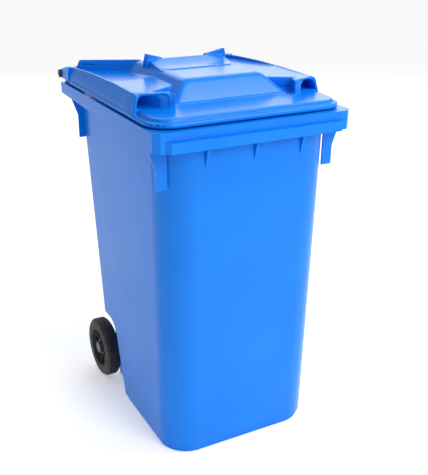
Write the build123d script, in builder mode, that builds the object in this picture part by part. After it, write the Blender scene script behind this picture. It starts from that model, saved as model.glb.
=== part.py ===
from build123d import *

import os
from math import cos, radians, sin

# A two-wheeled waste bin of about 240 litres. Units are millimetres, +Z is up, the
# front faces -Y, X is the mirror direction and the origin is the centre of the bin's
# box on the floor.

# Overall sizes
rim_width = 580.0
overall_depth = 740.0
rim_top = 990.0
wheel_diameter = 200.0

# Moulding walls
wall = 4.0
floor_top = 18.0
rib = 5.0

# Tub: how far it sits inside the rim, and how much it tapers from the top to the floor
side_overhang = 38.0
front_overhang = 17.0
rear_overhang = 30.0
side_taper = 8.0
front_taper = 14.0
rear_taper = 118.0
front_corner = 92.0
rear_corner = 50.0
foot_height = 17.0
foot_inset = 7.0
foot_ring = 26.0
foot_recess = 11.0

# Rim: a downward channel round the mouth, deeper at the front than at the rear
lip_projection = 12.0
front_band = 51.0
upper_band = 24.0
rear_band = 33.0
rim_chamfer = 16.0
lip_chamfer = 40.0
lip_run = 40.0
rear_setback = 28.0
grip_recess = 24.0
grip_half_width = 212.0

# Gussets under the front band, and fins on the four corners
gusset_pitch = 142.0
gusset_drop = 60.0
fin_width = 16.0
fin_kink = 56.0
fin_drop = 108.0
fin_foot = 15.0
front_fin_setback = 52.0
rear_fin_setback = 76.0

# Lid hinge and rear grip bar
hinge_rise = 22.0
boss_radius = 12.0
pin_radius = 6.0
pin_head = 4.0
pin_step = 1.0
pin_flange = pin_head / 3
pin_tip = 3.0
lug_outer = 271.0
lug_width = 20.0
arm_width = 12.0
side_gap = 1.0
bar_end = 233.0
bracket_width = 18.0
middle_bracket = 94.0

# Axle, wheels and their wells
axle_radius = 10.0
axle_standoff = 12.0
axle_chamfer = 1.0
wheel_proud = 22.0
tyre_width = 47.0
tyre_shoulder = 9.0
tyre_shoulder_cut = tyre_shoulder / 3
lug_slope = 30.0
tyre_bore = 70.0
tyre_lip = 63.5
tyre_lip_width = 5.0
spacer_length = 16.0
spacer_radius = 13.5
well_rise = 55.0
well_front = 39.0
well_foot = 54.0
well_corner = 60.0
axle_lug_radius = 17.0
axle_lug_width = 12.0
inner_lug = 66.0

# Wheel core, its cap and its latch
core_width = 36.0
flange = 5.0
web = 5.0
hub_radius = 25.0
spoke_count = 8
spoke_width = 5.0
cap_radius = 20.0
cap_depth = 9.0
cap_wall = 2.5
groove_width = 8.0
groove_depth = 2.5
latch_radius = 3.0
latch_length = 8.0
latch_travel = 2.3
spring_closed = 2.3
spring_wire = 0.25
spring_coils = 3.5

# Lid
lid_gap = 3.0
lid_side_setback = 6.0
lid_front_setback = 18.0
lid_arm_reach = 62.0
lid_edge = 23.0
lid_edge_slope = 14.0
lid_front_corner = 64.0
lid_rear_corner = 24.0
shelf_rise = 57.0
shelf_inset = 9.0
dome_rise = 80.0
dome_half_width = 117.0
dome_front = 174.0
dome_length = 312.0
dome_slope = 61.0
ridge_rise = 81.0
ridge_fall = 12.0
ridge_foot = 8.0
ridge_half_width = 256.0
dome_corner = 6.0
saddle_front = 129.0
saddle_crest = 233.0
saddle_rise = 14.0
stop_rise = 31.0
stop_half_width = 127.0
stop_inner = 73.0
stop_depth = 30.0
stop_crest = 221.0
hood_leg_x = 189.0
hood_leg_y = 100.0
hood_outer_y = 152.0
hood_notch_x = 218.0
hood_notch_y = 160.0
hood_root_x = 178.0
hood_root_y = 182.0
grip_back_x = 243.0
grip_back_y = 205.0
grip_floor = 4.0

# Fits: radial clearances unless the name says otherwise
pin_fit = 0.05
arm_fit = 0.08
axle_fit = 0.05
hub_fit = 0.06
seat_fit = 0.1
latch_fit = 0.1
spring_gap = 0.1
latch_tip_gap = 0.4

# How far a cutting shape runs past the face that it cuts
overcut = 1.0

# Positions worked out from the sizes above
half_width = rim_width / 2
half_depth = overall_depth / 2
rim_front = -half_depth + lip_projection
rim_rear = half_depth - rear_setback
hinge_y = half_depth - boss_radius
hinge_z = rim_top + hinge_rise
tub_half_top = half_width - side_overhang
tub_front_top = rim_front + front_overhang
tub_rear_top = rim_rear - rear_overhang
axle_z = wheel_diameter / 2
lid_bottom = rim_top + lid_gap
deck_z = lid_bottom + lid_edge
shelf_z = lid_bottom + shelf_rise
dome_z = lid_bottom + dome_rise
lid_half = half_width - lid_side_setback
lid_front = rim_front + lid_front_setback
lid_rear = hinge_y - lid_arm_reach
dome_y = lid_front + dome_front
dome_rear = dome_y + dome_length


def rear_wall(z):
    """Outside of the tub's sloping rear wall at height z."""
    return tub_rear_top - rear_taper * (1 - z / rim_top)


axle_y = rear_wall(axle_z) + axle_standoff
wheel_outer = tub_half_top - side_taper + wheel_proud
wheel_inner = wheel_outer - tyre_width
well_x = wheel_inner - spacer_length - side_gap


def rounded_plan(z, half_x, y_front, y_rear, r_front, r_rear):
    """A plan outline at height z with its front and rear corners rounded."""
    with BuildSketch(Plane.XY.offset(z)) as plan:
        corners = [(-half_x, y_front), (half_x, y_front), (half_x, y_rear), (-half_x, y_rear)]
        Polygon(*corners, align=None)
        fillet(plan.vertices().group_by(Axis.Y)[0], r_front)
        fillet(plan.vertices().group_by(Axis.Y)[-1], r_rear)
    return plan.sketch.face()


def tub_plan(z, inset):
    """The tub's plan at height z, drawn a distance inside its outer face."""
    taper = 1 - z / rim_top
    half_x = tub_half_top - side_taper * taper - inset
    y_front = tub_front_top + front_taper * taper + inset
    y_rear = rear_wall(z) - inset
    return rounded_plan(z, half_x, y_front, y_rear, front_corner - inset, rear_corner - inset)


def wheel_wells(skin):
    """The two spaces that the wheels stand in, grown by a skin for the tub's inside."""
    top = axle_z + wheel_diameter / 2 + well_rise
    front = axle_y - wheel_diameter / 2 - well_front
    knee = top - well_corner
    low = -skin - overcut
    with BuildPart() as wells:
        with BuildSketch(Plane.YZ.offset(well_x - skin)):
            with BuildLine():
                Polyline((half_depth, low), (half_depth, top), (front + well_corner, top))
                RadiusArc((front + well_corner, top), (front, knee), -well_corner)
                Polyline((front, knee), (front - well_foot, low), (half_depth, low))
            make_face()
            if skin:
                offset(amount=skin, kind=Kind.INTERSECTION)
        extrude(amount=half_width)
        mirror(about=Plane.YZ)
    return wells.part


def rim_outline():
    """Corners of the rim's plan, with the recess behind the grip bar."""
    recess = rim_rear - grip_recess
    right = [
        (half_width - rim_chamfer, rim_front),
        (half_width, rim_front + rim_chamfer),
        (half_width, rim_rear),
        (grip_half_width, rim_rear),
        (grip_half_width, recess),
    ]
    return right + [(-x, y) for x, y in reversed(right)]


def lip_outline():
    """Corners of the front lip, which stands proud of the band above it."""
    front = -half_depth
    right = [(half_width - lip_chamfer, front), (half_width, front + lip_run)]
    return right + [(-x, y) for x, y in reversed(right)]


def boss_profile(plane, foot_y):
    """Side view of a plate that carries the hinge line from the back of the rim."""
    reach = boss_radius * cos(radians(lug_slope))
    drop = boss_radius * sin(radians(lug_slope))
    with BuildSketch(plane) as side:
        Polygon(
            (foot_y, rim_top - rear_band),
            (foot_y, rim_top),
            (hinge_y - drop, hinge_z + reach),
            (hinge_y + reach, hinge_z - drop),
            (rim_rear - rib, rim_top - rear_band),
            align=None,
        )
        with Locations((hinge_y, hinge_z)):
            Circle(boss_radius)
    return side.sketch


# The rim channel is made first and joined to the tub below.
with BuildPart() as rim_channel:
    with BuildSketch(Plane.XY.offset(rim_top - front_band)):
        Polygon(*rim_outline(), align=None)
    extrude(amount=front_band)
    with BuildSketch(Plane.XY.offset(rim_top - front_band)):
        Polygon(*lip_outline(), align=None)
    extrude(amount=front_band - upper_band)
    with BuildSketch(Plane.XY.offset(rim_top - front_band)):
        Polygon(*rim_outline(), align=None)
        offset(amount=-wall, kind=Kind.INTERSECTION)
    extrude(amount=front_band - wall, mode=Mode.SUBTRACT)
    with BuildSketch(Plane.XY.offset(rim_top - front_band)):
        Polygon(*lip_outline(), align=None)
        offset(amount=-wall, kind=Kind.INTERSECTION)
    extrude(amount=front_band - upper_band - wall, mode=Mode.SUBTRACT)
    with BuildSketch(Plane.YZ.offset(-half_width)):
        Polygon(
            (rim_front + lip_run, rim_top - front_band),
            (rim_rear, rim_top - front_band),
            (rim_rear, rim_top - rear_band),
            align=None,
        )
    extrude(amount=rim_width, mode=Mode.SUBTRACT)

# The space inside the tub, which leaves a skin round both wheel wells.
with BuildPart() as cavity:
    loft(sections=[tub_plan(floor_top, wall), tub_plan(rim_top, wall)])
    with BuildSketch(Plane.XY.offset(rim_top)):
        add(tub_plan(rim_top, wall))
    extrude(amount=wall)
    add(wheel_wells(wall), mode=Mode.SUBTRACT)

# The tub and its rim are one moulding on the real bin. They are two solids here, which
# meet face to face, so that each can have simple collision pieces.
with BuildPart() as tub_mass:
    loft(sections=[tub_plan(0, foot_inset), tub_plan(foot_height, foot_inset)])
    loft(sections=[tub_plan(foot_height, 0), tub_plan(rim_top, 0)])

# Rim: the channel, gussets, fins, grip bar and hinge lugs.
with BuildPart() as bin_rim:
    add(rim_channel.part)
    for x in (-gusset_pitch, 0, gusset_pitch):
        with BuildSketch(Plane.YZ.offset(x - rib / 2)):
            Polygon(
                (rim_front + wall / 2, rim_top - wall / 2),
                (rim_front + wall / 2, rim_top - front_band),
                (tub_front_top + wall / 2, rim_top - front_band - gusset_drop),
                (tub_front_top + front_overhang, rim_top - wall / 2),
                align=None,
            )
        extrude(amount=rib)
    front_fin = rim_front + front_fin_setback
    rear_fin = rim_rear - rear_fin_setback
    fin_foot_z = rim_top - front_band - fin_drop
    for y, band in ((front_fin, front_band), (rear_fin, rear_band)):
        for side in (1, -1):
            with BuildSketch(Plane.XZ.offset(-y - rib / 2)):
                Polygon(
                    (side * (tub_half_top - fin_width), rim_top - wall / 2),
                    (side * (half_width - wall / 2), rim_top - wall / 2),
                    (side * (half_width - wall / 2), rim_top - band + wall),
                    (side * (tub_half_top + fin_foot), rim_top - band - fin_kink),
                    (side * (tub_half_top + fin_foot), fin_foot_z),
                    (side * (tub_half_top - fin_width), fin_foot_z),
                    align=None,
                )
            extrude(amount=rib)
    recess_y = rim_rear - grip_recess - wall / 2
    bracket_starts = (bar_end - bracket_width, middle_bracket - bracket_width / 2)
    for start in bracket_starts:
        for x in (start, -start - bracket_width):
            extrude(boss_profile(Plane.YZ.offset(x), recess_y), amount=bracket_width)
    for x in (lug_outer - lug_width, -lug_outer):
        extrude(boss_profile(Plane.YZ.offset(x), recess_y), amount=lug_width)
    with BuildSketch(Plane.YZ.offset(-bar_end)):
        with Locations((hinge_y, hinge_z)):
            Circle(boss_radius)
    extrude(amount=2 * bar_end)
    add(tub_mass.part, mode=Mode.SUBTRACT)
    for x in (lug_outer - lug_width, -lug_outer):
        with BuildSketch(Plane.YZ.offset(x)):
            with Locations((hinge_y, hinge_z)):
                Circle(pin_radius + pin_fit)
        extrude(amount=lug_width, mode=Mode.SUBTRACT)

# Tub: the tapered shell with its wheel wells, axle lugs and foot ring.
with BuildPart() as bin_body:
    add(tub_mass.part)
    add(wheel_wells(0), mode=Mode.SUBTRACT)
    for x in (well_x - axle_lug_width, inner_lug, -inner_lug - axle_lug_width, -well_x):
        with BuildSketch(Plane.YZ.offset(x)):
            Polygon(
                (rear_wall(axle_z) - rear_corner, axle_z - 2 * axle_lug_radius),
                (rear_wall(axle_z) - rear_corner, axle_z + 2 * axle_lug_radius),
                (rear_wall(axle_z) - wall, axle_z + 2 * axle_lug_radius),
                (axle_y + axle_lug_radius / 2, axle_z + axle_lug_radius * cos(radians(lug_slope))),
                (axle_y + axle_lug_radius / 2, axle_z - axle_lug_radius * cos(radians(lug_slope))),
                (rear_wall(axle_z) - wall, axle_z - 2 * axle_lug_radius),
                align=None,
            )
            with Locations((axle_y, axle_z)):
                Circle(axle_lug_radius)
        extrude(amount=axle_lug_width)
    add(cavity.part, mode=Mode.SUBTRACT)
    with BuildSketch(Plane.XY):
        add(tub_plan(0, foot_inset))
        offset(amount=-foot_ring, kind=Kind.INTERSECTION)
    extrude(amount=foot_recess, mode=Mode.SUBTRACT)
    with BuildSketch(Plane.YZ.offset(-well_x)):
        with Locations((axle_y, axle_z)):
            Circle(axle_radius + axle_fit)
    extrude(amount=2 * well_x, mode=Mode.SUBTRACT)


def shelf_plan(side, inset):
    """Corners of one raised shelf: the hood's slanted front, its leg and its outer side."""
    x_in = dome_half_width / 2
    x_out = lid_half - shelf_inset - inset
    y_back = lid_rear - lid_rear_corner / 2 - inset
    return [
        (side * x_in, lid_front + hood_root_y + inset),
        (side * (hood_root_x + inset / 2), lid_front + hood_root_y + inset),
        (side * (hood_notch_x + inset), lid_front + hood_notch_y + inset / 2),
        (side * (hood_leg_x + inset), lid_front + hood_leg_y + 2 * inset),
        (side * x_out, lid_front + hood_outer_y + inset),
        (side * x_out, y_back),
        (side * x_in, y_back),
    ]


def ridge_profile(x, y_foot, y_back, crest, inset):
    """The wedge of a rear ridge where it crosses the plane at x."""
    with BuildSketch(Plane.YZ.offset(x)) as wedge:
        Polygon(
            (y_foot + inset, lid_bottom + wall),
            (y_foot + inset, shelf_z - 2 * inset),
            (y_foot + ridge_foot + inset, crest - inset),
            (y_back - inset, shelf_z - 2 * inset),
            (y_back - inset, lid_bottom + wall),
            align=None,
        )
    return wedge.sketch.face()


def lid_mass(inset):
    """The lid's outer form as one solid, or its inner form when drawn inset."""
    edge_top = deck_z - inset
    base = lid_bottom + wall
    ridge_run = ridge_half_width - dome_half_width
    with BuildPart() as mass:
        loft(
            sections=[
                lid_plan(lid_bottom, inset),
                lid_plan(edge_top, inset + lid_edge_slope),
            ]
        )
        for side in (1, -1):
            with BuildSketch(Plane.XY.offset(base)):
                Polygon(*shelf_plan(side, inset), align=None)
            extrude(amount=shelf_z - inset - base)
            loft(
                sections=[
                    ridge_profile(
                        side * (dome_half_width - ridge_foot),
                        dome_rear - 2 * ridge_foot,
                        lid_rear,
                        lid_bottom + ridge_rise,
                        inset,
                    ),
                    ridge_profile(
                        side * (ridge_half_width - inset),
                        dome_rear + ridge_run - 2 * ridge_foot,
                        lid_rear,
                        lid_bottom + ridge_rise - ridge_fall,
                        inset,
                    ),
                ],
                ruled=True,
            )
        rear_half = lid_half - lid_rear_corner - shelf_inset - inset
        with BuildSketch(Plane.XY.offset(lid_bottom)):
            Polygon(
                (-rear_half, dome_rear - inset),
                (rear_half, dome_rear - inset),
                (rear_half, lid_rear - inset),
                (-rear_half, lid_rear - inset),
                align=None,
            )
        extrude(amount=shelf_rise - inset)
        loft(
            sections=[
                rounded_plan(
                    base,
                    dome_half_width + dome_slope - inset,
                    dome_y - dome_slope + inset,
                    dome_rear + dome_slope / 2 - inset,
                    dome_corner,
                    dome_corner,
                ),
                rounded_plan(
                    dome_z - inset,
                    dome_half_width - inset,
                    dome_y + inset,
                    dome_rear - inset,
                    dome_corner,
                    dome_corner,
                ),
            ]
        )
        saddle_half = dome_half_width - dome_corner / 2 - inset
        with BuildSketch(Plane.YZ.offset(-saddle_half)):
            Polygon(
                (lid_front + dome_front + saddle_front, dome_z - wall),
                (lid_front + dome_front + saddle_front, dome_z - inset),
                (dome_y + saddle_crest, dome_z + saddle_rise - inset),
                (dome_y + saddle_crest + stop_depth, dome_z - inset),
                (dome_y + saddle_crest + stop_depth, dome_z - 2 * wall),
                (lid_front + dome_front + saddle_front, dome_z - 2 * wall),
                align=None,
            )
        extrude(amount=2 * saddle_half)
    return mass.part


def lid_plan(z, inset):
    """The lid's plan outline at height z."""
    return rounded_plan(
        z,
        lid_half - inset,
        lid_front + inset,
        lid_rear - inset,
        lid_front_corner - inset,
        lid_rear_corner - inset,
    )


def grip_pockets(skin):
    """The two hand pockets under the hoods at the front corners, grown by a skin."""
    low = deck_z + grip_floor
    with BuildPart() as pockets:
        for side in (1, -1):
            with BuildSketch(Plane.XY.offset(low - skin)):
                Polygon(
                    (side * (hood_leg_x + 2 * wall), lid_front + hood_leg_y - wall),
                    (side * (lid_half - shelf_inset - wall), lid_front + hood_outer_y - wall),
                    (side * (lid_half - shelf_inset - wall), lid_front + grip_back_y),
                    (side * grip_back_x, lid_front + grip_back_y),
                    (side * (hood_notch_x + 2 * wall), lid_front + hood_notch_y),
                    align=None,
                )
                if skin:
                    offset(amount=skin, kind=Kind.INTERSECTION)
            extrude(amount=shelf_z - wall - low + 2 * skin)
    return pockets.part


with BuildPart() as lid_inside:
    add(lid_mass(wall))
    with BuildSketch(Plane.XY.offset(lid_bottom - wall)):
        add(lid_plan(lid_bottom - wall, wall))
    extrude(amount=wall)
    add(grip_pockets(wall), mode=Mode.SUBTRACT)

# The lid shell: edge, shelves, dome, rear ridges, stops, grip pockets and hinge arms.
arm_starts = (lug_outer + side_gap, lug_outer - lug_width - side_gap - arm_width)
with BuildPart() as lid:
    add(lid_mass(0))
    for side in (1, -1):
        with BuildSketch(Plane.XZ.offset(-(dome_y + stop_crest))):
            Polygon(
                (side * stop_inner, dome_z - wall / 2),
                (side * dome_half_width, dome_z - wall / 2),
                (side * stop_half_width, dome_z),
                (side * stop_half_width, dome_z + stop_rise),
                (side * stop_inner, dome_z + saddle_rise),
                align=None,
            )
        extrude(amount=-stop_depth)
    for start in arm_starts:
        for x in (start, -start - arm_width):
            with BuildSketch(Plane.YZ.offset(x)):
                Polygon(
                    (lid_rear - lid_rear_corner - wall, lid_bottom + 2 * wall),
                    (lid_rear - lid_rear_corner - wall, shelf_z - wall),
                    (lid_rear, shelf_z - 2 * wall),
                    (hinge_y, hinge_z + boss_radius),
                    (hinge_y, hinge_z - boss_radius),
                    align=None,
                )
                with Locations((hinge_y, hinge_z)):
                    Circle(boss_radius)
            extrude(amount=arm_width)
    add(lid_inside.part, mode=Mode.SUBTRACT)
    add(grip_pockets(0), mode=Mode.SUBTRACT)
    for start in arm_starts:
        for x in (start, -start - arm_width):
            with BuildSketch(Plane.YZ.offset(x)):
                with Locations((hinge_y, hinge_z)):
                    Circle(pin_radius + arm_fit)
            extrude(amount=arm_width, mode=Mode.SUBTRACT)

with BuildPart() as axle:
    with BuildSketch(Plane.YZ):
        with Locations((axle_y, axle_z)):
            Circle(axle_radius)
    extrude(amount=wheel_outer - cap_depth, both=True)
    groove_x = wheel_outer - core_width / 2 - groove_width / 2
    for x in (groove_x, -groove_x - groove_width):
        with BuildSketch(Plane.YZ.offset(x)):
            with Locations((axle_y, axle_z)):
                Circle(axle_radius + overcut)
                Circle(axle_radius - groove_depth, mode=Mode.SUBTRACT)
        extrude(amount=groove_width, mode=Mode.SUBTRACT)
    ends = axle.edges().filter_by(GeomType.CIRCLE).sort_by(Axis.X)
    chamfer([ends[0], ends[-1]], axle_chamfer)


def hinge_pin(side):
    """A headed plastic pin through the lid's two arms and the body's lug."""
    inner = lug_outer - lug_width - side_gap - arm_width - pin_tip
    outer = lug_outer + 2 * side_gap + arm_width
    with BuildPart() as pin:
        with BuildSketch(Plane.YZ.offset(side * inner)):
            with Locations((hinge_y, hinge_z)):
                Circle(pin_radius)
        extrude(amount=side * (outer - inner))
        with BuildSketch(Plane.YZ.offset(side * outer)):
            with Locations((hinge_y, hinge_z)):
                Circle(boss_radius)
                Circle(pin_radius - pin_step, mode=Mode.SUBTRACT)
        extrude(amount=side * pin_head)
        with BuildSketch(Plane.YZ.offset(side * outer)):
            with Locations((hinge_y, hinge_z)):
                Circle(boss_radius - pin_step)
        extrude(amount=side * pin_flange)
    return pin.part


def spacer(side):
    """The sleeve on the axle between the tub and a wheel."""
    with BuildPart() as sleeve:
        with BuildSketch(Plane.YZ.offset(side * well_x)):
            with Locations((axle_y, axle_z)):
                Circle(spacer_radius)
                Circle(axle_radius + axle_fit, mode=Mode.SUBTRACT)
        extrude(amount=side * spacer_length)
    return sleeve.part


def revolved(side, points):
    """A ring about the axle from (distance out from the axle, distance along it)."""
    plane = Plane(origin=(0, axle_y, axle_z), x_dir=(1, 0, 0), z_dir=(0, -1, 0))
    with BuildPart() as ring:
        with BuildSketch(plane):
            Polygon(*[(side * x, r) for r, x in points], align=None)
        revolve(axis=Axis((0, axle_y, axle_z), (1, 0, 0)))
    return ring.part


def tyre(side):
    """A solid rubber tyre that grips the core's drum between two lips."""
    outer = wheel_diameter / 2
    mid = (wheel_outer + wheel_inner) / 2
    seat = core_width / 2 + seat_fit
    lip = tyre_lip_width
    points = [
        (outer, wheel_inner + tyre_shoulder),
        (outer, wheel_outer - tyre_shoulder),
        (outer - tyre_shoulder_cut, wheel_outer - tyre_shoulder_cut),
        (outer - tyre_shoulder, wheel_outer),
        (tyre_lip + lip, wheel_outer),
        (tyre_lip, wheel_outer - lip / 2),
        (tyre_lip, mid + seat),
        (tyre_bore, mid + seat),
        (tyre_bore, mid - seat),
        (tyre_lip, mid - seat),
        (tyre_lip, wheel_inner + lip / 2),
        (tyre_lip + lip, wheel_inner),
        (outer - tyre_shoulder, wheel_inner),
        (outer - tyre_shoulder_cut, wheel_inner + tyre_shoulder_cut),
    ]
    return revolved(side, points)


latch_x = wheel_outer - core_width / 2
latch_foot = axle_radius - groove_depth + latch_tip_gap
spring_foot = latch_foot + latch_length + spring_gap
spring_length = spring_closed + latch_travel
latch_top = spring_foot + spring_length + spring_gap


def wheel_core(side):
    """The wheel's drum, web, spokes and hub in one moulding, bored for the axle."""
    mid = (wheel_outer + wheel_inner) / 2
    drum = tyre_bore - seat_fit
    half = core_width / 2
    hub_out = wheel_outer - cap_depth - side_gap
    bore = axle_radius + hub_fit
    rim_in = drum - 2 * flange
    points = [
        (drum, mid - half),
        (drum, mid + half),
        (drum - flange, mid + half),
        (rim_in, mid + web),
        (hub_radius, mid + web),
        (hub_radius, hub_out),
        (bore, hub_out),
        (bore, wheel_inner),
        (hub_radius, wheel_inner),
        (hub_radius, mid),
        (rim_in, mid),
        (drum - flange, mid - half),
    ]
    with BuildPart() as core:
        add(revolved(side, points))
        with BuildSketch(Plane.YZ.offset(side * mid)):
            with Locations((axle_y, axle_z)):
                with PolarLocations((hub_radius + rim_in) / 2, spoke_count):
                    Rectangle(rim_in - hub_radius + flange, spoke_width)
        extrude(amount=side * (half - web))
        with BuildSketch(Plane.XY.offset(axle_z)):
            with Locations((side * latch_x, axle_y)):
                Circle(latch_radius + latch_fit)
        extrude(amount=latch_top, mode=Mode.SUBTRACT)
    return core.part


def hub_cap(side):
    """The snap-on cap over the hub and the end of the axle."""
    base = wheel_outer - cap_depth - side_gap
    points = [
        (cap_radius, base),
        (cap_radius, wheel_outer - cap_wall),
        (cap_radius - cap_wall, wheel_outer),
        (0, wheel_outer),
        (0, wheel_outer - cap_wall),
        (cap_radius - cap_wall, wheel_outer - cap_wall),
        (cap_radius - cap_wall, base),
    ]
    return revolved(side, points)


def latch(side):
    """The bolt that drops into the axle's groove and keeps the wheel on."""
    with BuildPart() as bolt:
        with BuildSketch(Plane.XY.offset(axle_z + latch_foot)):
            with Locations((side * latch_x, axle_y)):
                Circle(latch_radius)
        extrude(amount=latch_length)
        chamfer(bolt.faces().sort_by(Axis.Z)[0].edges(), latch_tip_gap)
    return bolt.part


def latch_spring(side):
    """The small coil spring that pushes the latch into its groove."""
    radius = latch_radius - spring_wire
    pitch = (spring_length - 2 * spring_wire) / spring_coils
    foot = axle_z + spring_foot + spring_wire
    with BuildPart() as spring:
        with BuildLine():
            coil = Helix(pitch, pitch * spring_coils, radius, center=(side * latch_x, axle_y, foot))
        with BuildSketch(Plane(coil @ 0, z_dir=coil % 0)):
            Circle(spring_wire)
        sweep()
    return spring.part


parts = {
    "bin_body": bin_body.part,
    "bin_rim": bin_rim.part,
    "lid": lid.part,
    "axle": axle.part,
}
for name, side in (("left", -1), ("right", 1)):
    parts["hinge_pin_" + name] = hinge_pin(side)
    parts["axle_spacer_" + name] = spacer(side)
    parts["tyre_" + name] = tyre(side)
    parts["wheel_core_" + name] = wheel_core(side)
    parts["hub_cap_" + name] = hub_cap(side)
    parts["wheel_latch_" + name] = latch(side)
    parts["latch_spring_" + name] = latch_spring(side)

os.makedirs("parts", exist_ok=True)
for name, piece in parts.items():
    piece.label = name
    export_step(piece, "parts/" + name + ".step")
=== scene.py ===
from math import cos, pi, radians, sin

import bmesh
import bpy
import numpy as np
from bpy.props import FloatProperty, FloatVectorProperty, IntProperty, PointerProperty
from mathutils import Matrix, Vector


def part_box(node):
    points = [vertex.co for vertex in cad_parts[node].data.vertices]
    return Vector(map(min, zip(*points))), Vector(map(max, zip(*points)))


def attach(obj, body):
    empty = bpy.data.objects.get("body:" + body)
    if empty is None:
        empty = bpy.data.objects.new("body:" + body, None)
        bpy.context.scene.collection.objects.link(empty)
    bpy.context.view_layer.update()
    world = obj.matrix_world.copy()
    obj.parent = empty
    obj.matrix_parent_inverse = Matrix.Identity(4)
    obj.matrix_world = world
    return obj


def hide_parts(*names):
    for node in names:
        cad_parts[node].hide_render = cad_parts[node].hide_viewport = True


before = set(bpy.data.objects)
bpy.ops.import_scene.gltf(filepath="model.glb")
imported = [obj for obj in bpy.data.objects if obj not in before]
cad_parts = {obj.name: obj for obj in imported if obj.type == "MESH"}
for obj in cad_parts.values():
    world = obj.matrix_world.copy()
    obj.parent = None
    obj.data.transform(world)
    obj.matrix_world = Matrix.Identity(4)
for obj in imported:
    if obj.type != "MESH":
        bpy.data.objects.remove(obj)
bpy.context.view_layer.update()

bl_info = {
    "name": "Wheelie Bin",
    "version": (1, 0, 0),
    "blender": (4, 5, 0),
    "location": "3D View > Sidebar > Bin",
    "description": "Builds a two-wheeled waste bin around its packed parts",
    "category": "Object",
}

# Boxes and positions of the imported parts, in metres
LID_LOW, LID_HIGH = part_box("lid")
SIDES = (("left", -1), ("right", 1))
MM = 0.001
WELD = 2e-5

# Plan and heights of the lid's features, in millimetres
LID_REAR = 296.0
LID_REACH = 298.0
HALF_WIDTH = 284.0
FRONT_CORNER, REAR_CORNER = 64.0, 24.0
EDGE_TOP, EDGE_SLOPE = 1005.0, 0.2
DECK, DECK_RISE, DECK_FALL = 1015.5, 4.0, 5.0
DECK_FRONT, DECK_RUN = -324.0, 103.0
WALL_FOOT = (283.5, 997.0)
WALL_LEAN = (14.0, 55.0)
WALL_SPAN = 56.75
CROWN_TOP, CROWN_FALL = 1055.0, 10.0
CROWN_MIDDLE, CROWN_REACH = -30.0, 280.0
SHELF_TOP, SHELF_SLOPE, SHELF_LEVEL_TO = 1051.0, 0.075, -20.0
BORDER_INNER = 263.0
WING_IN, WING_OUT = (178.0, -158.0), (218.0, -180.0)
HOOD_LEG, HOOD_FOOT, HOOD_NOTCH = (177.0, -246.0), (278.0, -186.0), (206.0, -186.0)
HOOD_BACK, HOOD_OUTER, HOOD_RISE = -140.0, 276.0, 0.085
HOOD_FALL, HOOD_FLAT, HOOD_RUN = 0.30, 9.0, 45.0
GRIP_SIDE = ((198.0, -252.0), (227.0, -192.0))
GRIP_BACK, GRIP_WALL, GRIP_ROOF, GRIP_FLOOR = -134.0, 6.5, 6.0, 2.5
DIAGONAL = 1.414
DOME_TOP, DOME_SIDE, DOME_FRONT, DOME_BACK, DOME_ROUND = 1072.0, 117.0, -166.0, 146.0, 9.0
RIDGE_IN, RIDGE_OUT = (117.0, 146.0), (255.0, 283.0)
RIDGE_TOP, RIDGE_FALL, RIDGE_DRAFT, RIDGE_THICK = 1074.0, 12.0, 0.10, 12.0
CREASE_Z, CREASE_DEPTH, CREASE_HEIGHT = 1055.0, 2.5, 3.0
REAR_FLOOR, REAR_INSET, REAR_FROM = 1044.0, 8.0, 118.0
SADDLE_FRONT, SADDLE_RUN, SADDLE_RISE = -37.0, 103.0, 15.0
SADDLE_CREST, SADDLE_FALL, SADDLE_HALF, SADDLE_FOOT = 66.0, 0.9, 118.0, 1056.0
PANEL_HALF, PANEL_FRONT, PANEL_BACK = 108.0, -36.0, 60.0
PANEL_RISE, PANEL_CUT, PANEL_FOOT = 2.4, 14.0, 1060.0
STOP_FRONT, STOP_SWEEP, STOP_IN, STOP_SPAN = 66.0, 11.0, 73.0, 54.0
STOP_LOW, STOP_RISE, STOP_FOOT = 1089.0, 15.0, 1064.0
STOP_DEPTH, STOP_LEAN, STOP_LEAN_FROM = 26.0, 0.5, 1074.0
STOP_INNER, STOP_OUTER = 70.0, 126.5

# Camera in metres and radians
CAMERA_SPOT = (-0.9938, -1.9531, 1.4598)
CAMERA_YAW, CAMERA_PITCH, CAMERA_ROLL = 0.4919, 0.4316, 0.0077
CAMERA_LENS, CAMERA_SHIFT = 57.45, (0.0085, 0.0557)


class BinColours(bpy.types.PropertyGroup):
    """Colours of the bin's materials"""

    plastic: FloatVectorProperty(
        name="Bin plastic", description="Colour of the tub and the lid",
        subtype="COLOR", size=3, min=0.0, max=1.0, default=(0.0, 0.190, 0.76),
    )
    rubber: FloatVectorProperty(
        name="Rubber", description="Colour of the tyres",
        subtype="COLOR", size=3, min=0.0, max=1.0, default=(0.022, 0.021, 0.023),
    )
    fittings: FloatVectorProperty(
        name="Fittings", description="Colour of the wheel cores, caps and pins",
        subtype="COLOR", size=3, min=0.0, max=1.0, default=(0.032, 0.034, 0.038),
    )
    steel: FloatVectorProperty(
        name="Steel", description="Colour of the axle and the springs",
        subtype="COLOR", size=3, min=0.0, max=1.0, default=(0.56, 0.57, 0.58),
    )


class LidSizes(bpy.types.PropertyGroup):
    """Sizes of the lid's moulding, in millimetres"""

    cell: FloatProperty(
        name="Cell", description="Spacing of the surface's points", default=2.9, min=1.5,
    )
    wall: FloatProperty(
        name="Wall", description="Thickness of the moulding", default=4.0, min=2.0,
    )
    bead: FloatProperty(
        name="Bead", description="Radius of the rolled lower edge", default=6.0, min=2.0,
    )
    step: FloatProperty(
        name="Step", description="Width of the rolled edge below the deck", default=13.0,
    )
    arch: FloatProperty(
        name="Arch", description="Corner radius of a hand grip's arch", default=18.0,
    )
    lip: FloatProperty(
        name="Lip", description="Radius of the lip round a hand grip", default=2.6,
    )


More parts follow.
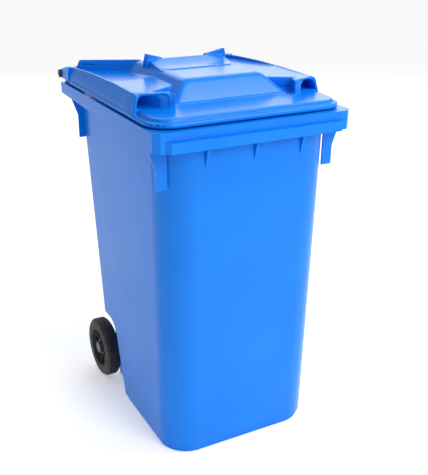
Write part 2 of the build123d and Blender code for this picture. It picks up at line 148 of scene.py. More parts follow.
class TubSizes(bpy.types.PropertyGroup):
    """Edge rounding of the tub"""

    edge: FloatProperty(
        name="Edge", description="Rounding of the moulded edges, held to what fits between them",
        unit="LENGTH", default=0.0016, min=0.0,
    )
    segments: IntProperty(
        name="Segments", description="Steps across a rounded edge", default=2, min=1,
    )


class TyreSizes(bpy.types.PropertyGroup):
    """Sizes of a tyre's tread"""

    ribs: IntProperty(
        name="Ribs", description="Tread ribs round each shoulder", default=64, min=8,
    )
    rib_width: FloatProperty(
        name="Rib width", description="Width of one tread rib",
        unit="LENGTH", default=0.0042, min=0.0005,
    )
    rib_length: FloatProperty(
        name="Rib length", description="Length of one tread rib across the tyre",
        unit="LENGTH", default=0.0130, min=0.001,
    )
    depth: FloatProperty(
        name="Depth", description="Height of the tread above the casing",
        unit="LENGTH", default=0.0016, min=0.0,
    )


# Surfaces as distances, in millimetres. Inside a form the distance is negative.


def soft_max(a, b, k):
    """The greater of two distances, rounded over k millimetres where they meet."""
    h = np.maximum(k - np.abs(a - b), 0.0) / k
    return np.maximum(a, b) + h * h * k / 4


def soft_min(a, b, k):
    return -soft_max(-a, -b, k)


def side_of(x, y, start, end):
    """Distance to the right of the line from start to end in plan."""
    dx, dy = end[0] - start[0], end[1] - start[1]
    return ((x - start[0]) * dy - (y - start[1]) * dx) / np.hypot(dx, dy)


def rounded_corner(across, up, radius):
    """Distance outside a corner rounded to a radius."""
    outside = np.hypot(np.maximum(across, 0), np.maximum(up, 0))
    return outside + np.minimum(np.maximum(across, up), 0) - radius


def lid_outline(x, y):
    """Distance outside the lid's plan, with its larger front corners."""
    front = LID_LOW.y / MM
    middle, reach = (front + LID_REAR) / 2, (LID_REAR - front) / 2
    radius = np.where(y < middle, FRONT_CORNER, REAR_CORNER)
    return rounded_corner(x - LID_HIGH.x / MM + radius, np.abs(y - middle) - reach + radius, radius)


def capsule(x, y, z, a, b, radius):
    """Distance to a round bar from a to b."""
    a, b = np.array(a, float), np.array(b, float)
    ab = b - a
    px, py, pz = x - a[0], y - a[1], z - a[2]
    t = np.clip((px * ab[0] + py * ab[1] + pz * ab[2]) / (ab @ ab), 0, 1)
    gap = (px - t * ab[0]) ** 2 + (py - t * ab[1]) ** 2 + (pz - t * ab[2]) ** 2
    return np.sqrt(gap) - radius


def crown(y):
    """Height of the shelves' outer edge, highest near the middle of its length."""
    return CROWN_TOP - CROWN_FALL * ((y - CROWN_MIDDLE) / CROWN_REACH) ** 2


def outer_wall(x, z):
    """The sloping outer wall of a shelf."""
    out, up = x - WALL_FOOT[0], z - WALL_FOOT[1]
    return (out * WALL_LEAN[1] + up * WALL_LEAN[0]) / WALL_SPAN


def rolled_edge(x, y, z, s):
    """The rolled lower edge and the deck above it."""
    outline = lid_outline(x, y)
    edge = rounded_corner(outline + s.bead, z - EDGE_TOP + s.bead, s.bead)
    rise = DECK_RISE * np.clip((y - DECK_FRONT) / DECK_RUN, 0, 1)
    deck = DECK + rise - DECK_FALL * (x / HALF_WIDTH) ** 6
    inset = outline + s.step + EDGE_SLOPE * (z - EDGE_TOP)
    return soft_min(edge, soft_max(inset, z - deck, 5.0), 3.0)


def shelf(x, y, z):
    """A dished side shelf, its raised border and the hood at its front."""
    outline, wall, top = lid_outline(x, y), outer_wall(x, z), crown(y)
    wing = side_of(x, y, WING_IN, WING_OUT)
    low = SHELF_TOP - SHELF_SLOPE * np.maximum(0.0, y - SHELF_LEVEL_TO)
    dish = soft_max(soft_max(wing, wall, 8.0), soft_max(outline + 1.0, z - low, 6.0), 6.0)
    ends = soft_max(z - top, soft_max(wing, outline + 1.0, 6.0), 6.0)
    border = soft_max(soft_max(wall, BORDER_INNER - x, 5.0), ends, 6.0)
    arch = side_of(x, y, HOOD_LEG, HOOD_FOOT)
    inner = -side_of(x, y, HOOD_LEG, HOOD_NOTCH)
    hood = soft_max(soft_max(arch, inner, 3.0), soft_max(wall, z - hood_roof(x, y), 7.0), 6.0)
    hood = soft_max(hood, y - HOOD_BACK, 4.0)
    return soft_min(soft_min(dish, border, 5.0), hood, 5.0)


def hood_roof(x, y, skin=0.0):
    """Height of a hood's roof, less a skin, falling away behind its arch."""
    arch = side_of(x, y, HOOD_LEG, HOOD_FOOT)
    fall = HOOD_FALL * np.clip(-arch - HOOD_FLAT, 0, HOOD_RUN)
    return crown(y) + HOOD_RISE * (HOOD_OUTER - x) - skin - fall


def dome(x, y, z):
    """The raised middle, with its front, back and sides at 45 degrees."""
    rise = z - DOME_TOP
    form = soft_max(rise, (x - DOME_SIDE + rise) / DIAGONAL, DOME_ROUND)
    form = soft_max(form, (-(y - DOME_FRONT) + rise) / DIAGONAL, DOME_ROUND)
    return soft_max(form, ((y - DOME_BACK) + rise) / DIAGONAL, DOME_ROUND)


def ridge(x, y, z):
    """A rear ridge with a creased face, and the low floor behind it."""
    outline = lid_outline(x, y)
    across = side_of(x, y, RIDGE_IN, RIDGE_OUT)
    dx, dy = RIDGE_OUT[0] - RIDGE_IN[0], RIDGE_OUT[1] - RIDGE_IN[1]
    run = np.hypot(dx, dy)
    along = ((x - RIDGE_IN[0]) * dx + (y - RIDGE_IN[1]) * dy) / run
    crest = RIDGE_TOP - RIDGE_FALL * np.clip(along / run, 0, 1)
    crease = CREASE_DEPTH * np.clip((CREASE_Z - z) / CREASE_HEIGHT, 0, 1)
    face = across + RIDGE_DRAFT * (z - crest) - crease
    behind = 0.75 * (z - crest) + 0.62 * (-across - RIDGE_THICK)
    form = soft_max(soft_max(face, soft_max(z - crest, behind, 9.0), 4.0), along - run, 16.0)
    form = soft_max(form, -along - RIDGE_THICK, 4.0)
    rear = soft_max(outline + REAR_INSET, REAR_FROM - y, 6.0)
    rear = soft_max(soft_max(across, z - REAR_FLOOR, 5.0), rear, 8.0)
    return soft_min(form, rear, 6.0)


def saddle(x, y, z):
    """The low saddle that rises towards the stops."""
    climb = SADDLE_RISE * np.clip((y - SADDLE_FRONT) / SADDLE_RUN, 0, 1) ** 2
    top = DOME_TOP + climb - SADDLE_FALL * np.maximum(0, y - SADDLE_CREST)
    ends = soft_max(-(y - SADDLE_FRONT), SADDLE_FOOT - z, 3.0)
    return soft_max(soft_max(x - SADDLE_HALF, z - top, 4.0), ends, 3.0)


def panel(x, y, z):
    """The slightly raised panel on the dome, with a cut corner."""
    side, front = x - PANEL_HALF, y - PANEL_FRONT
    form = soft_max(soft_max(side, -front, 3.0), (side - front + PANEL_CUT) / DIAGONAL, 3.0)
    form = soft_max(soft_max(form, z - DOME_TOP - PANEL_RISE, 1.5), y - PANEL_BACK, 3.0)
    return soft_max(form, PANEL_FOOT - z, 2.0)


def stop(x, y, z):
    """The upright fin on which the open lid rests."""
    front = STOP_FRONT - STOP_SWEEP * (x - STOP_IN) / STOP_SPAN
    top = STOP_LOW + STOP_RISE * (x - STOP_IN) / STOP_SPAN
    back = y - front - STOP_DEPTH + STOP_LEAN * (z - STOP_LEAN_FROM)
    form = soft_max(soft_max(front - y, back, 2.0), z - top, 2.5)
    form = soft_max(form, soft_max(x - STOP_OUTER, STOP_INNER - x, 2.5), 2.5)
    return soft_max(form, STOP_FOOT - z, 2.0)


def lid_form(x, y, z, s):
    """The outside of the lid, open-ended below."""
    form = rolled_edge(x, y, z, s)
    for feature, blend in (
        (shelf, 3.5), (dome, 4.0), (ridge, 3.0), (saddle, 2.0), (panel, 1.0), (stop, 1.5),
    ):
        form = soft_min(form, feature(x, y, z), blend)
    return form


def grip_hollow(x, y, z, s):
    """The hand space under a hood, open at its arch."""
    inner = -side_of(x, y, *GRIP_SIDE)
    sides = soft_max(inner, outer_wall(x, z) + GRIP_WALL, 8.0)
    sides = soft_max(sides, y - GRIP_BACK, 14.0)
    roof = hood_roof(x, y, GRIP_ROOF)
    return soft_max(soft_max(sides, z - roof, s.arch), DECK + GRIP_FLOOR - z, 2.0)


def arch_lip(x, y, z, s):
    """The rounded lip that follows the arch from its leg to its outer foot."""
    start, end = np.array(HOOD_LEG), np.array(HOOD_FOOT)
    span = np.hypot(*(end - start))
    way = (end - start) / span
    leg, leg_top, foot, foot_top, turn = 16.0, 26.0, 12.0, 20.0, 14.0
    points = [(leg, 0.0), (leg, leg_top)]
    for i in range(1, 4):
        a = radians(30.0 * i)
        points.append((leg + turn * (1 - cos(a)), leg_top + turn * sin(a)))
    for i in range(4):
        a = radians(30.0 * i)
        points.append((span - foot - turn * (1 - sin(a)), foot_top + turn * cos(a)))
    points.append((span - 5.0, 0.0))
    spots = [(*(start + way * u), DECK + h) for u, h in points]
    bars = [capsule(x, y, z, a, b, s.lip) for a, b in zip(spots, spots[1:])]
    return np.minimum.reduce(bars)


def lid_distance(x, y, z, s):
    """The whole lid as one moulded shell."""
    x = np.abs(x)
    form = lid_form(x, y, z, s)
    hollow = grip_hollow(x, y, z, s)
    room = soft_max(form + s.wall, s.wall - hollow, 3.0)
    shell = soft_max(form, -hollow, 2.0)
    shell = soft_min(shell, arch_lip(x, y, z, s), 2.0)
    shell = soft_max(shell, -room, 1.5)
    return np.maximum(shell, LID_LOW.z / MM - z)


def surface_net(distance, low, high, cell):
    """A closed mesh of quads over the zero surface of a distance."""
    axes = [np.arange(a - 2 * cell, b + 3 * cell, cell) for a, b in zip(low, high)]
    grid = np.meshgrid(*axes, indexing="ij")
    value = distance(*grid)
    inside = value < 0
    shape = np.array(value.shape) - 1
    total = np.zeros((*shape, 3))
    count = np.zeros(shape)
    corners = [(i, j, k) for i in (0, 1) for j in (0, 1) for k in (0, 1)]

    def part(array, corner):
        return array[tuple(slice(c, c + n) for c, n in zip(corner, shape))]

    for a in corners:
        for axis in range(3):
            if a[axis]:
                continue
            b = tuple(c + (i == axis) for i, c in enumerate(a))
            va, vb = part(value, a), part(value, b)
            cross = part(inside, a) != part(inside, b)
            t = np.where(cross, va / np.where(cross, va - vb, 1.0), 0.0)
            for i in range(3):
                total[..., i] += np.where(cross, a[i] + (t if i == axis else 0.0), 0.0)
            count += cross
    used = count > 0
    index = np.full(shape, -1)
    index[used] = np.arange(used.sum())
    cells = np.argwhere(used)
    points = np.array([ax[0] for ax in axes]) + cell * (cells + total[used] / count[used][:, None])

    faces = []
    for axis in range(3):
        u, v = (axis + 1) % 3, (axis + 2) % 3
        lower = [slice(1, n) for n in shape]
        upper = list(lower)
        lower[axis], upper[axis] = slice(0, shape[axis]), slice(1, shape[axis] + 1)
        a, b = inside[tuple(lower)], inside[tuple(upper)]
        for flip, where in ((False, a & ~b), (True, ~a & b)):
            at = np.argwhere(where)
            at[:, u] += 1
            at[:, v] += 1
            quad = []
            for du, dv in ((1, 1), (0, 1), (0, 0), (1, 0)):
                c = at.copy()
                c[:, u] -= du
                c[:, v] -= dv
                quad.append(index[c[:, 0], c[:, 1], c[:, 2]])
            quad = np.stack(quad, axis=1)
            faces.append(quad[:, ::-1] if flip else quad)
    faces = np.concatenate(faces)
    return points, faces[(faces >= 0).all(axis=1)]


def settle(points, distance, cell):
    """Moves the points onto the surface."""
    probe = 0.3
    for _ in range(3):
        x, y, z = points.T
        here = distance(x, y, z)
        slope = np.stack(
            [
                distance(x + probe, y, z) - distance(x - probe, y, z),
                distance(x, y + probe, z) - distance(x, y - probe, z),
                distance(x, y, z + probe) - distance(x, y, z - probe),
            ],
            axis=1,
        ) / (2 * probe)
        size = np.maximum((slope ** 2).sum(axis=1), 0.05)
        move = -slope * (here / size)[:, None]
        points = points + np.clip(move, -cell / 2, cell / 2)
    return points


# Meshes


def new_object(name, mesh):
    piece = bpy.data.objects.new(name, mesh)
    bpy.context.scene.collection.objects.link(piece)
    return piece


def mesh_from(name, points, faces):
    mesh = bpy.data.meshes.new(name)
    mesh.from_pydata([tuple(p) for p in points], [], [tuple(int(i) for i in f) for f in faces])
    mesh.validate()
    return mesh


def flatten(piece):
    """Turns a piece and its modifiers into one plain mesh."""
    graph = bpy.context.evaluated_depsgraph_get()
    mesh = bpy.data.meshes.new_from_object(piece.evaluated_get(graph))
    piece.modifiers.clear()
    old = piece.data
    piece.data = mesh
    bpy.data.meshes.remove(old)
    return piece


def smooth(piece, angle=40.0):
    """Smooth shading, with edges sharper than the angle kept crisp."""
    piece.data.shade_smooth()
    bm = bmesh.new()
    bm.from_mesh(piece.data)
    for edge in bm.edges:
        edge.smooth = edge.is_manifold and edge.calc_face_angle(0.0) < radians(angle)
    bm.to_mesh(piece.data)
    bm.free()


def merged_copy(node, name):
    """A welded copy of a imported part's mesh."""
    bm = bmesh.new()
    bm.from_mesh(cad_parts[node].data)
    bmesh.ops.remove_doubles(bm, verts=bm.verts, dist=WELD)
    bmesh.ops.dissolve_degenerate(bm, dist=WELD, edges=bm.edges)
    mesh = bpy.data.meshes.new(name)
    bm.to_mesh(mesh)
    bm.free()
    return new_object(name, mesh)


def rounded(piece, width, segments):
    """Rounds a piece's hard edges, as far as there is room, and keeps its flat faces flat."""
    bm = bmesh.new()
    bm.from_mesh(piece.data)
    bmesh.ops.dissolve_limit(bm, angle_limit=radians(0.6), verts=bm.verts, edges=bm.edges)
    bm.to_mesh(piece.data)
    bm.free()
    bevel = piece.modifiers.new("Edges", "BEVEL")
    bevel.width = width
    bevel.segments = segments
    bevel.limit_method = "ANGLE"
    bevel.angle_limit = radians(28)
    bevel.use_clamp_overlap = True
    bevel.miter_outer = "MITER_ARC"
    flatten(piece)
    piece.data.shade_smooth()
    weighted = piece.modifiers.new("Normals", "WEIGHTED_NORMAL")
    weighted.keep_sharp = True
    return flatten(piece)


# Materials


def new_material(name):
    material = bpy.data.materials.new(name)
    material.use_nodes = True
    tree = material.node_tree
    return material, tree, tree.nodes["Principled BSDF"]


def add_node(tree, kind, **inputs):
    node = tree.nodes.new(kind)
    for key, value in inputs.items():
        node.inputs[key.replace("_", " ")].default_value = value
    return node


def noise(tree, scale, detail, stretch=(1, 1, 1)):
    """Noise on Object coordinates, stretched along any axis."""
    place = tree.nodes.new("ShaderNodeTexCoord")
    mapping = tree.nodes.new("ShaderNodeMapping")
    mapping.inputs["Scale"].default_value = stretch
    tree.links.new(place.outputs["Object"], mapping.inputs["Vector"])
    node = add_node(tree, "ShaderNodeTexNoise", Scale=scale, Detail=detail)
    tree.links.new(mapping.outputs["Vector"], node.inputs["Vector"])
    return node.outputs["Fac"]


def ramp(tree, source, low, high, start=0.3, end=0.7):
    """A colour or grey ramp between two values."""
    node = tree.nodes.new("ShaderNodeValToRGB")
    node.color_ramp.elements[0].position = start
    node.color_ramp.elements[1].position = end
    node.color_ramp.elements[0].color = low
    node.color_ramp.elements[1].color = high
    tree.links.new(source, node.inputs["Fac"])
    return node.outputs["Color"]


def grey(value):
    return (value, value, value, 1.0)


def moulded_plastic(name, colour, rough, grain, spread=0.06, scuff=0.03):
    """Moulded plastic: a fine skin, slow colour drift and faint drawn scuffs."""
    material, tree, shader = new_material(name)
    shader.inputs["Specular IOR Level"].default_value = 0.20
    low = tuple(c * (1 - spread) for c in colour) + (1.0,)
    high = tuple(min(1.0, c * (1 + spread) + 0.002) for c in colour) + (1.0,)
    tree.links.new(ramp(tree, noise(tree, 5.0, 3.0), low, high), shader.inputs["Base Color"])
    wear = noise(tree, 42.0, 5.0, (1.0, 1.0, 0.14))
    gloss = ramp(tree, wear, grey(rough - scuff), grey(rough + scuff))
    tree.links.new(gloss, shader.inputs["Roughness"])
    skin = add_node(tree, "ShaderNodeBump", Strength=grain, Distance=0.0002)
    tree.links.new(noise(tree, 900.0, 2.0), skin.inputs["Height"])
    flow = add_node(tree, "ShaderNodeBump", Strength=0.05, Distance=0.001)
    tree.links.new(noise(tree, 9.0, 2.0), flow.inputs["Height"])
    tree.links.new(skin.outputs["Normal"], flow.inputs["Normal"])
    tree.links.new(flow.outputs["Normal"], shader.inputs["Normal"])
    return material


def moulded_rubber(colour):
    """Tyre rubber: dull, slightly dusty, with a fine pitted skin."""
    material, tree, shader = new_material("moulded_rubber")
    dust = tuple(min(1.0, c * 1.9 + 0.006) for c in colour) + (1.0,)
    shade = ramp(tree, noise(tree, 26.0, 6.0), (*colour, 1.0), dust, 0.45, 0.8)
    tree.links.new(shade, shader.inputs["Base Color"])
    dull = ramp(tree, noise(tree, 60.0, 4.0), grey(0.52), grey(0.74))
    tree.links.new(dull, shader.inputs["Roughness"])
    pits = add_node(tree, "ShaderNodeBump", Strength=0.35, Distance=0.0005)
    tree.links.new(noise(tree, 620.0, 3.0), pits.inputs["Height"])
    tree.links.new(pits.outputs["Normal"], shader.inputs["Normal"])
    return material


def plated_steel(colour):
    """Zinc-plated steel with fine turning marks along X."""
    material, tree, shader = new_material("plated_steel")
    shader.inputs["Metallic"].default_value = 1.0
    dull = tuple(c * 0.8 for c in colour) + (1.0,)
    shade = ramp(tree, noise(tree, 70.0, 4.0), dull, (*colour, 1.0))
    tree.links.new(shade, shader.inputs["Base Color"])
    gloss = ramp(tree, noise(tree, 40.0, 3.0), grey(0.26), grey(0.42))
    tree.links.new(gloss, shader.inputs["Roughness"])
    turned = add_node(tree, "ShaderNodeBump", Strength=0.15, Distance=0.0002)
    tree.links.new(noise(tree, 500.0, 2.0, (6.0, 0.3, 0.3)), turned.inputs["Height"])
    tree.links.new(turned.outputs["Normal"], shader.inputs["Normal"])
    return material


def bin_plastic():
    """The blue plastic that the tub and the lid share."""
    found = bpy.data.materials.get("moulded_blue")
    if found:
        return found
    colour = tuple(bpy.context.scene.bin_colours.plastic)
    return moulded_plastic("moulded_blue", colour, 0.24, 0.10, 0.04)


def dress(piece, material):
    piece.data.materials.clear()
    piece.data.materials.append(material)


# Operators


class BIN_OT_tub(bpy.types.Operator):
    """Makes the tub and its rim as one moulding, its edges rounded where there is room"""

    bl_idname = "bin.tub"
    bl_label = "Tub"

    def execute(self, context):
        sizes = context.scene.tub_sizes
        tub = merged_copy("bin_body", "tub")
        rim = merged_copy("bin_rim", "rim_tool")
        union = tub.modifiers.new("Rim", "BOOLEAN")
        union.operation = "UNION"
        union.solver = "EXACT"
        union.object = rim
        flatten(tub)
        bpy.data.objects.remove(rim)
        rounded(tub, sizes.edge, sizes.segments)
        dress(tub, bin_plastic())
        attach(tub, "bin")
        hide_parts("bin_body", "bin_rim")
        return {"FINISHED"}


class BIN_OT_lid(bpy.types.Operator):
    """Makes the lid as one moulded shell with its dome, shelves, grips and ridges"""

    bl_idname = "bin.lid"
    bl_label = "Lid"

    def execute(self, context):
        s = context.scene.lid_sizes

        def distance(x, y, z):
            return lid_distance(x, y, z, s)

        low = (LID_LOW.x / MM, LID_LOW.y / MM, LID_LOW.z / MM)
        high = (LID_HIGH.x / MM, LID_REACH, LID_HIGH.z / MM)
        points, faces = surface_net(distance, low, high, s.cell)
        points = settle(points, distance, s.cell)
        points[:, 0] = np.clip(points[:, 0], low[0], high[0])
        points[:, 1] = np.clip(points[:, 1], low[1], None)
        points[:, 2] = np.clip(points[:, 2], low[2], high[2])
        lid = new_object("lid_moulding", mesh_from("lid_moulding", points * MM, faces))
        lid.data.shade_smooth()
        dress(lid, bin_plastic())
        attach(lid, "lid")
        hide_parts("lid")
        self.make_arms()
        return {"FINISHED"}

    def make_arms(self):
        """The four hinge arms, which run into the lid's rear wall."""
        cut, root, edge = 0.2965, 0.012, 0.0009
        bm = bmesh.new()
        bm.from_mesh(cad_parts["lid"].data)
        bmesh.ops.remove_doubles(bm, verts=bm.verts, dist=WELD)
        geometry = bm.verts[:] + bm.edges[:] + bm.faces[:]
        bmesh.ops.bisect_plane(
            bm, geom=geometry, plane_co=(0, cut, 0), plane_no=(0, 1, 0), clear_inner=True,
        )
        edges = [e for e in bm.edges if e.is_boundary]
        made = bmesh.ops.extrude_edge_only(bm, edges=edges)["geom"]
        roots = [v for v in made if isinstance(v, bmesh.types.BMVert)]
        bmesh.ops.translate(bm, verts=roots, vec=(0, -root, 0))
        bmesh.ops.holes_fill(bm, edges=[e for e in bm.edges if e.is_boundary])
        bmesh.ops.recalc_face_normals(bm, faces=bm.faces)
        mesh = bpy.data.meshes.new("lid_arms")
        bm.to_mesh(mesh)
        bm.free()
        arms = rounded(new_object("lid_arms", mesh), edge, 2)
        dress(arms, bin_plastic())
        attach(arms, "lid")


def lathe(name, centre, profile, steps, side):
    """A ring turned about an axle along X, from (distance out along it, radius)."""
    bm = bmesh.new()
    rings = []
    for i in range(steps):
        a = 2 * pi * i / steps
        spots = [(side * x, centre.y + r * cos(a), centre.z + r * sin(a)) for x, r in profile]
        rings.append([bm.verts.new(spot) for spot in spots])
    count = len(profile)
    for i in range(steps):
        for j in range(count):
            one, two = rings[i], rings[(i + 1) % steps]
            bm.faces.new((one[j], one[(j + 1) % count], two[(j + 1) % count], two[j]))
    bmesh.ops.recalc_face_normals(bm, faces=bm.faces)
    mesh = bpy.data.meshes.new(name)
    bm.to_mesh(mesh)
    bm.free()
    return new_object(name, mesh)


def tread_tree(material):
    """Geometry Nodes: ribs round both shoulders of a tyre, staggered from side to side."""
    tree = bpy.data.node_groups.new("tyre_tread", "GeometryNodeTree")
    face = tree.interface
    face.new_socket("Geometry", in_out="INPUT", socket_type="NodeSocketGeometry")
    for name, kind in (
        ("Ribs", "NodeSocketInt"),
        ("Radius", "NodeSocketFloat"),
        ("Rib Size", "NodeSocketVector"),
        ("Shoulder", "NodeSocketFloat"),
        ("Centre", "NodeSocketVector"),
    ):
        face.new_socket(name, in_out="INPUT", socket_type=kind)
    face.new_socket("Geometry", in_out="OUTPUT", socket_type="NodeSocketGeometry")
    nodes, links = tree.nodes, tree.links
    given = nodes.new("NodeGroupInput")
    out = nodes.new("NodeGroupOutput")
    ring = nodes.new("GeometryNodeMeshCircle")
    links.new(given.outputs["Ribs"], ring.inputs["Vertices"])
    links.new(given.outputs["Radius"], ring.inputs["Radius"])
    block = nodes.new("GeometryNodeMeshCube")
    links.new(given.outputs["Rib Size"], block.inputs["Size"])
    place = nodes.new("GeometryNodeInputPosition")
    aim = nodes.new("FunctionNodeAlignRotationToVector")
    aim.axis = "X"
    links.new(place.outputs["Position"], aim.inputs["Vector"])
    scatter = nodes.new("GeometryNodeInstanceOnPoints")
    links.new(ring.outputs["Mesh"], scatter.inputs["Points"])
    links.new(block.outputs["Mesh"], scatter.inputs["Instance"])
    links.new(aim.outputs["Rotation"], scatter.inputs["Rotation"])
    both = nodes.new("GeometryNodeJoinGeometry")
    stagger = 0.024
    for sign in (1, -1):
        lift = nodes.new("ShaderNodeMath")
        lift.operation = "MULTIPLY"
        lift.inputs[1].default_value = sign
        links.new(given.outputs["Shoulder"], lift.inputs[0])
        along = nodes.new("ShaderNodeCombineXYZ")
        links.new(lift.outputs["Value"], along.inputs["Z"])
        shift = nodes.new("GeometryNodeTransform")
        shift.inputs["Rotation"].default_value = (0.0, 0.0, sign * stagger)
        links.new(scatter.outputs["Instances"], shift.inputs["Geometry"])
        links.new(along.outputs["Vector"], shift.inputs["Translation"])
        links.new(shift.outputs["Geometry"], both.inputs["Geometry"])
    turn = nodes.new("GeometryNodeTransform")
    turn.inputs["Rotation"].default_value = (0.0, pi / 2, 0.0)
    links.new(both.outputs["Geometry"], turn.inputs["Geometry"])
    links.new(given.outputs["Centre"], turn.inputs["Translation"])
    real = nodes.new("GeometryNodeRealizeInstances")
    links.new(turn.outputs["Geometry"], real.inputs["Geometry"])
    joined = nodes.new("GeometryNodeJoinGeometry")
    links.new(given.outputs["Geometry"], joined.inputs["Geometry"])
    links.new(real.outputs["Geometry"], joined.inputs["Geometry"])
    paint = nodes.new("GeometryNodeSetMaterial")
    paint.inputs["Material"].default_value = material
    links.new(joined.outputs["Geometry"], paint.inputs["Geometry"])
    links.new(paint.outputs["Geometry"], out.inputs["Geometry"])
    return tree


class BIN_OT_tyres(bpy.types.Operator):
    """Makes the two solid rubber tyres with their tread"""

    bl_idname = "bin.tyres"
    bl_label = "Tyres"
    rib_share = 0.98
    rib_offset = 0.0085

    def execute(self, context):
        sizes = context.scene.tyre_sizes
        rubber = moulded_rubber(tuple(context.scene.bin_colours.rubber))
        tree = tread_tree(rubber)
        socket = {i.name: i.identifier for i in tree.interface.items_tree if i.in_out == "INPUT"}
        for name, side in SIDES:
            low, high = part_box("tyre_" + name)
            centre = (low + high) / 2
            outer = (high.z - low.z) / 2
            near, far = sorted((abs(low.x), abs(high.x)))
            profile = self.profile(near, far, outer - sizes.depth)
            tyre = lathe("tyre_moulding_" + name, centre, profile, 128, side)
            smooth(tyre)
            tread = tyre.modifiers.new("Tread", "NODES")
            tread.node_group = tree
            tread[socket["Ribs"]] = sizes.ribs
            tread[socket["Radius"]] = outer - sizes.depth
            height = 2 * sizes.depth * self.rib_share
            tread[socket["Rib Size"]] = (height, sizes.rib_width, sizes.rib_length)
            tread[socket["Shoulder"]] = self.rib_offset
            tread[socket["Centre"]] = centre
            flatten(tyre)
            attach(tyre, "wheel_" + name)
            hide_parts("tyre_" + name)
        return {"FINISHED"}

    def profile(self, near, far, casing):
        """Half-round shoulders, a middle groove and the lips that hold the core."""
        middle = (near + far) / 2
        shoulder, arc_steps = 0.011, 6
        arcs = []
        for end, way in ((near, 1), (far, -1)):
            arc = []
            for i in range(arc_steps + 1):
                a = radians(90.0 / arc_steps * i)
                along = end + way * shoulder * (1 - sin(a))
                arc.append((along, casing - shoulder * (1 - cos(a))))
            arcs.append(arc)
        groove_top, groove_floor, groove_depth = 0.0016, 0.0010, 0.0018
        groove = [
            (middle - groove_top, casing),
            (middle - groove_floor, casing - groove_depth),
            (middle + groove_floor, casing - groove_depth),
            (middle + groove_top, casing),
        ]
        ring = ((0.0, 0.0830), (0.0011, 0.0815), (0.0011, 0.0795), (0.0, 0.0780))
        lips = ((0.0, 0.0690), (0.0008, 0.0655), (0.0028, 0.0638))
        seat, lip, bore = 0.0181, 0.0638, 0.0700
        outer_face = [(far - offset, r) for offset, r in ring + lips]
        inner_face = [(near + offset, r) for offset, r in (ring + lips)[::-1]]
        inside = [
            (middle + seat, lip),
            (middle + seat, bore),
            (middle - seat, bore),
            (middle - seat, lip),
        ]
        return arcs[0][::-1] + groove + arcs[1] + outer_face + inside + inner_face


class BIN_OT_fittings(bpy.types.Operator):
    """Gives the axle, wheel cores, caps, pins and latches their finishes"""

    bl_idname = "bin.fittings"
    bl_label = "Fittings"

    def execute(self, context):
        colours = context.scene.bin_colours
        dark = tuple(colours.fittings)
        pale = tuple(c * 2.4 for c in dark)
        core = moulded_plastic("moulded_wheel", dark, 0.42, 0.35, 0.12, 0.06)
        cap = moulded_plastic("moulded_cap", pale, 0.30, 0.20, 0.10, 0.05)
        black = tuple(c * 0.5 for c in dark)
        ash = (0.21, 0.21, 0.22)
        pin = moulded_plastic("moulded_black", black, 0.36, 0.30, 0.15, 0.06)
        bolt = moulded_plastic("moulded_latch", ash, 0.40, 0.25, 0.08, 0.05)
        steel = plated_steel(tuple(colours.steel))
        finishes = {"axle": steel}
        for name, _ in SIDES:
            finishes["hinge_pin_" + name] = pin
            finishes["axle_spacer_" + name] = pin
            finishes["wheel_core_" + name] = core
            finishes["hub_cap_" + name] = cap
            finishes["wheel_latch_" + name] = bolt
            finishes["latch_spring_" + name] = steel
        for node, material in finishes.items():
            dress(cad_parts[node], material)
        return {"FINISHED"}


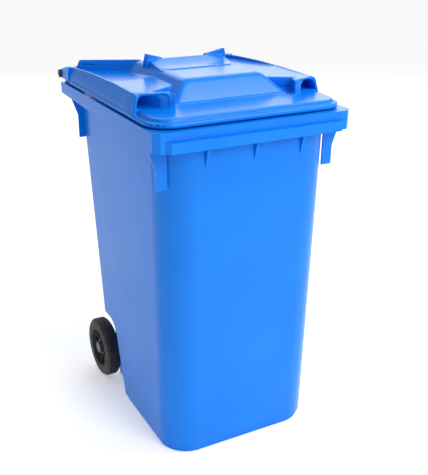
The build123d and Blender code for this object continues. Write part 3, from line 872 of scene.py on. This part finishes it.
class BIN_OT_stage(bpy.types.Operator):
    """Makes the floor, the lights and the camera"""

    bl_idname = "bin.stage"
    bl_label = "Stage"

    def execute(self, context):
        scene = context.scene
        scene.view_settings.view_transform = "Standard"
        self.make_floor()
        self.make_room(scene)
        self.make_light("rear_panel", (1.7, 3.8, 3.1), (0.0, 0.0, 1.0), 4.0, 70.0)
        self.make_light("front_key", (0.9, -3.2, 3.0), (0.0, 0.0, 0.6), 1.6, 62.0)
        strip = self.make_light("strip", (1.25, -0.86, 2.9), (0.0, -0.3, 1.0), 1.5, 34.0)
        strip.data.shape = "RECTANGLE"
        strip.data.size_y = 0.12
        strip.rotation_euler = (radians(-12), radians(24), 0.0)
        self.make_camera(scene)
        return {"FINISHED"}

    def make_room(self, scene):
        """Soft light from all round, dimmer from the left."""
        world = bpy.data.worlds.new("soft_room")
        scene.world = world
        world.use_nodes = True
        tree = world.node_tree
        sky = tree.nodes["Background"]
        way = tree.nodes.new("ShaderNodeTexCoord")
        split = tree.nodes.new("ShaderNodeSeparateXYZ")
        tree.links.new(way.outputs["Generated"], split.inputs["Vector"])
        fade = tree.nodes.new("ShaderNodeMapRange")
        span = {"From Min": -1.0, "From Max": 0.3, "To Min": 0.42, "To Max": 1.0}
        for name, value in span.items():
            fade.inputs[name].default_value = value
        tree.links.new(split.outputs["X"], fade.inputs["Value"])
        tree.links.new(fade.outputs["Result"], sky.inputs["Color"])
        sky.inputs["Strength"].default_value = 0.72

    def make_floor(self):
        size = 14.0
        points = [(-size, -size, 0), (size, -size, 0), (size, size, 0), (-size, size, 0)]
        floor = new_object("floor", mesh_from("floor", points, [(0, 1, 2, 3)]))
        material, tree, shader = new_material("floor_paper")
        shade = ramp(tree, noise(tree, 1.2, 2.0), grey(0.95), grey(0.97))
        tree.links.new(shade, shader.inputs["Base Color"])
        shader.inputs["Roughness"].default_value = 0.8
        shader.inputs["Emission Color"].default_value = (1.0, 1.0, 1.0, 1.0)
        shader.inputs["Emission Strength"].default_value = 0.36
        dress(floor, material)

    def make_light(self, name, spot, target, size, power):
        data = bpy.data.lights.new(name, "AREA")
        data.size = size
        data.energy = power
        light = bpy.data.objects.new(name, data)
        light.location = spot
        light.rotation_euler = (Vector(target) - Vector(spot)).to_track_quat("-Z", "Y").to_euler()
        bpy.context.scene.collection.objects.link(light)
        return light

    def make_camera(self, scene):
        yaw, pitch, roll = CAMERA_YAW, CAMERA_PITCH, CAMERA_ROLL
        look = Vector((sin(yaw) * cos(pitch), cos(yaw) * cos(pitch), -sin(pitch)))
        level = Vector((cos(yaw), -sin(yaw), 0.0))
        right = level * cos(roll) + level.cross(look) * sin(roll)
        top = right.cross(look)
        data = bpy.data.cameras.new("camera")
        data.lens = CAMERA_LENS
        data.shift_x, data.shift_y = CAMERA_SHIFT
        camera = bpy.data.objects.new("camera", data)
        turned = Matrix((right, top, -look)).transposed().to_4x4()
        camera.matrix_world = Matrix.Translation(CAMERA_SPOT) @ turned
        scene.collection.objects.link(camera)
        scene.camera = camera


OPERATORS = (BIN_OT_tub, BIN_OT_lid, BIN_OT_tyres, BIN_OT_fittings, BIN_OT_stage)


class BIN_PT_panel(bpy.types.Panel):
    """Lists the bin's pieces and sizes"""

    bl_idname = "BIN_PT_panel"
    bl_label = "Wheelie Bin"
    bl_space_type = "VIEW_3D"
    bl_region_type = "UI"
    bl_category = "Bin"

    def draw(self, context):
        for operator in OPERATORS:
            self.layout.operator(operator.bl_idname)
        for setting, group in GROUPS:
            for name in group.__annotations__:
                self.layout.prop(getattr(context.scene, setting), name)


GROUPS = (
    ("bin_colours", BinColours),
    ("lid_sizes", LidSizes),
    ("tub_sizes", TubSizes),
    ("tyre_sizes", TyreSizes),
)


def register():
    for name, group in GROUPS:
        bpy.utils.register_class(group)
        setattr(bpy.types.Scene, name, PointerProperty(type=group))
    for operator in OPERATORS:
        bpy.utils.register_class(operator)
    bpy.utils.register_class(BIN_PT_panel)


def unregister():
    bpy.utils.unregister_class(BIN_PT_panel)
    for operator in reversed(OPERATORS):
        bpy.utils.unregister_class(operator)
    for name, group in reversed(GROUPS):
        delattr(bpy.types.Scene, name)
        bpy.utils.unregister_class(group)


def main():
    register()
    bpy.ops.bin.tub()
    bpy.ops.bin.lid()
    bpy.ops.bin.tyres()
    bpy.ops.bin.fittings()
    bpy.ops.bin.stage()


if __name__ == "__main__":
    main()
